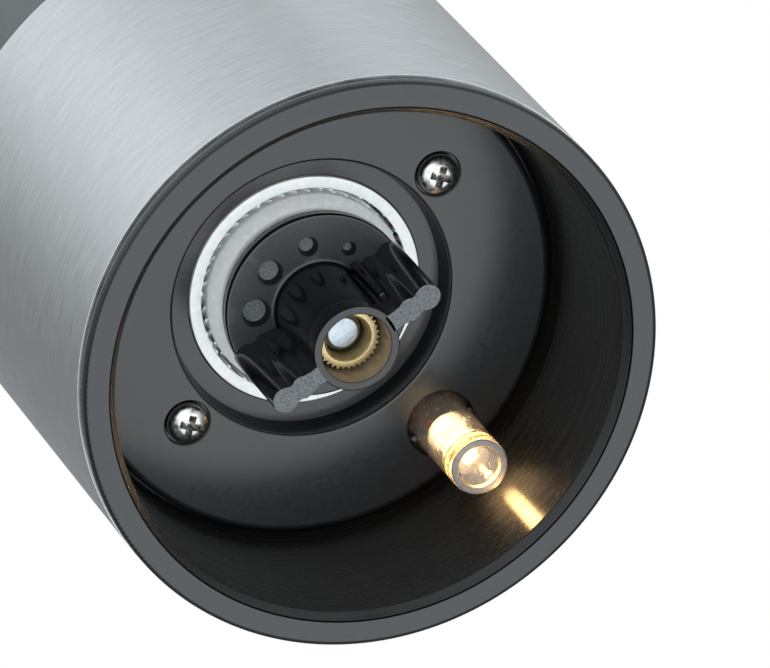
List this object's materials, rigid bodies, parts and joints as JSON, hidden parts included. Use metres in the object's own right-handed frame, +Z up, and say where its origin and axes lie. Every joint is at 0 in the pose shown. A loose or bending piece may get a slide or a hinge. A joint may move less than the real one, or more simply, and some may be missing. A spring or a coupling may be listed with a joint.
{
  "type": "electric pepper mill",
  "caption": "Upright cylindrical electric pepper mill with a brushed steel body, clear spice chamber, adjustable ceramic grinder and a lit foot.",
  "frame": {"origin": "centre of the foot ring's rest face, on the mill's axis", "axes": "+Z up along the mill's axis, from the grinder towards the push button; +Y towards the foot light; +X across the two plate screws"},
  "size_m": [0.06, 0.06, 0.202],
  "materials": {
    "brushed_steel": "fine circumferential brushing",
    "black_gloss": "moulded, polished",
    "black_moulded": "moulded, semi-gloss",
    "white_ceramic": "fired, unglazed",
    "nickel": "nickel plated",
    "bright_steel": "ground bright",
    "brass": "turned",
    "copper": "rolled copper",
    "clear_acrylic": "clear moulded acrylic",
    "chamber_acrylic": "clear moulded acrylic with a light smoke tint",
    "warm_lamp": "lit warm diode",
    "white_acetal": "moulded",
    "red_wire": "insulated",
    "black_rubber": "moulded silicone",
    "board": "solder mask",
    "cell_wrap": "plain shrink wrap"
  },
  "bodies": {
    "grinder_base": {"foot_ring": "black_gloss", "grinder_bell": "black_moulded", "grinder_plate": "black_moulded", "plate_screw_1": "nickel", "plate_screw_2": "nickel", "lower_sleeve": "brushed_steel", "ceramic_stator": "white_ceramic", "shaft_bridge": "black_moulded", "light_cap": "clear_acrylic", "led": "warm_lamp", "wire_duct": "black_moulded", "led_lead_red": "red_wire", "led_lead_black": "black_rubber", "spice_chamber": "chamber_acrylic", "sleeve_seal": "black_rubber"},
    "shaft": {"drive_shaft": "bright_steel", "spring_collar": "nickel", "rotor_spring": "bright_steel"},
    "rotor": {"ceramic_rotor": "white_ceramic", "rotor_driver": "black_moulded", "thrust_washer": "nickel"},
    "adjuster": {"adjuster_knob": "black_gloss", "brass_insert": "brass"},
    "twist_lock": {"lock_ring": "black_moulded"},
    "drive_unit": {"drive_base": "black_moulded", "contact_track_inner": "copper", "contact_track_outer": "copper", "gearbox_housing": "black_moulded", "ring_gear": "white_acetal", "gearbox_cover": "black_moulded", "motor_can": "nickel", "motor_end_cap": "black_moulded", "battery_cage": "black_moulded", "battery_1": "cell_wrap", "battery_2": "cell_wrap", "battery_3": "cell_wrap", "battery_4": "cell_wrap", "battery_5": "cell_wrap", "battery_6": "cell_wrap", "spring_contact_1": "nickel", "spring_contact_2": "nickel", "spring_contact_3": "nickel", "plain_contact_1": "nickel", "plain_contact_2": "nickel", "plain_contact_3": "nickel", "switch_board": "board", "micro_switch": "black_moulded"},
    "output": {"output_carrier": "white_acetal"},
    "planet_1": {"planet_gear_1": "white_acetal"},
    "planet_2": {"planet_gear_2": "white_acetal"},
    "planet_3": {"planet_gear_3": "white_acetal"},
    "motor_rotor": {"sun_gear": "brass", "motor_shaft": "bright_steel"},
    "plunger": {"switch_plunger": "white_acetal"},
    "top_cover": {"upper_sleeve": "brushed_steel", "top_cap": "black_gloss", "button_spring": "bright_steel"},
    "button": {"push_button": "black_moulded", "button_face": "brushed_steel"}
  },
  "joints": [
    {"name": "grinder_spin", "type": "hinge", "parent": "grinder_base", "child": "shaft", "pos_m": [0, 0, 0.06], "axis": [0, 0, 1], "continuous": true},
    {"name": "rotor_feed", "type": "slide", "parent": "shaft", "child": "rotor", "axis": [0, 0, 1], "range_m": [-0.0007, 0.00035], "deforming": ["rotor_spring"]},
    {"name": "adjuster_turn", "type": "hinge", "parent": "rotor", "child": "adjuster", "pos_m": [0, 0, 0.017], "axis": [0, 0, 1], "range_deg": [-360, 180]},
    {"name": "lock_twist", "type": "hinge", "parent": "grinder_base", "child": "twist_lock", "pos_m": [0, 0, 0.09], "axis": [0, 0, 1], "range_deg": [0, 30]},
    {"name": "drive_lift", "type": "slide", "parent": "grinder_base", "child": "drive_unit", "axis": [0, 0, 1], "range_m": [0, 0.06]},
    {"name": "output_spin", "type": "hinge", "parent": "drive_unit", "child": "output", "pos_m": [0, 0, 0.1], "axis": [0, 0, 1], "continuous": true},
    {"name": "motor_spin", "type": "hinge", "parent": "drive_unit", "child": "motor_rotor", "pos_m": [0, 0, 0.12], "axis": [0, 0, 1], "continuous": true},
    {"name": "planet_1_spin", "type": "hinge", "parent": "output", "child": "planet_1", "pos_m": [0, 0.00675, 0.107], "axis": [0, 0, 1], "continuous": true},
    {"name": "planet_2_spin", "type": "hinge", "parent": "output", "child": "planet_2", "pos_m": [-0.00585, -0.00337, 0.107], "axis": [0, 0, 1], "continuous": true},
    {"name": "planet_3_spin", "type": "hinge", "parent": "output", "child": "planet_3", "pos_m": [0.00585, -0.00337, 0.107], "axis": [0, 0, 1], "continuous": true},
    {"name": "cover_lift", "type": "slide", "parent": "drive_unit", "child": "top_cover", "axis": [0, 0, 1], "range_m": [0, 0.105]},
    {"name": "button_press", "type": "slide", "parent": "top_cover", "child": "button", "axis": [0, 0, -1], "range_m": [0, 0.0018], "stiffness_N_per_m": 600, "springref_m": -0.002, "deforming": ["button_spring"]},
    {"name": "plunger_press", "type": "slide", "parent": "drive_unit", "child": "plunger", "axis": [0, 0, -1], "range_m": [0, 0.0018]}
  ],
  "couplings": [
    {"joint": "adjuster_turn", "follows": "rotor_feed", "rad_per_m": 8976},
    {"joint": "output_spin", "follows": "grinder_spin", "ratio": 1},
    {"joint": "motor_spin", "follows": "grinder_spin", "ratio": 4.5},
    {"joint": "planet_1_spin", "follows": "grinder_spin", "ratio": -2.8},
    {"joint": "planet_2_spin", "follows": "grinder_spin", "ratio": -2.8},
    {"joint": "planet_3_spin", "follows": "grinder_spin", "ratio": -2.8},
    {"joint": "plunger_press", "follows": "button_press", "ratio": 1}
  ]
}
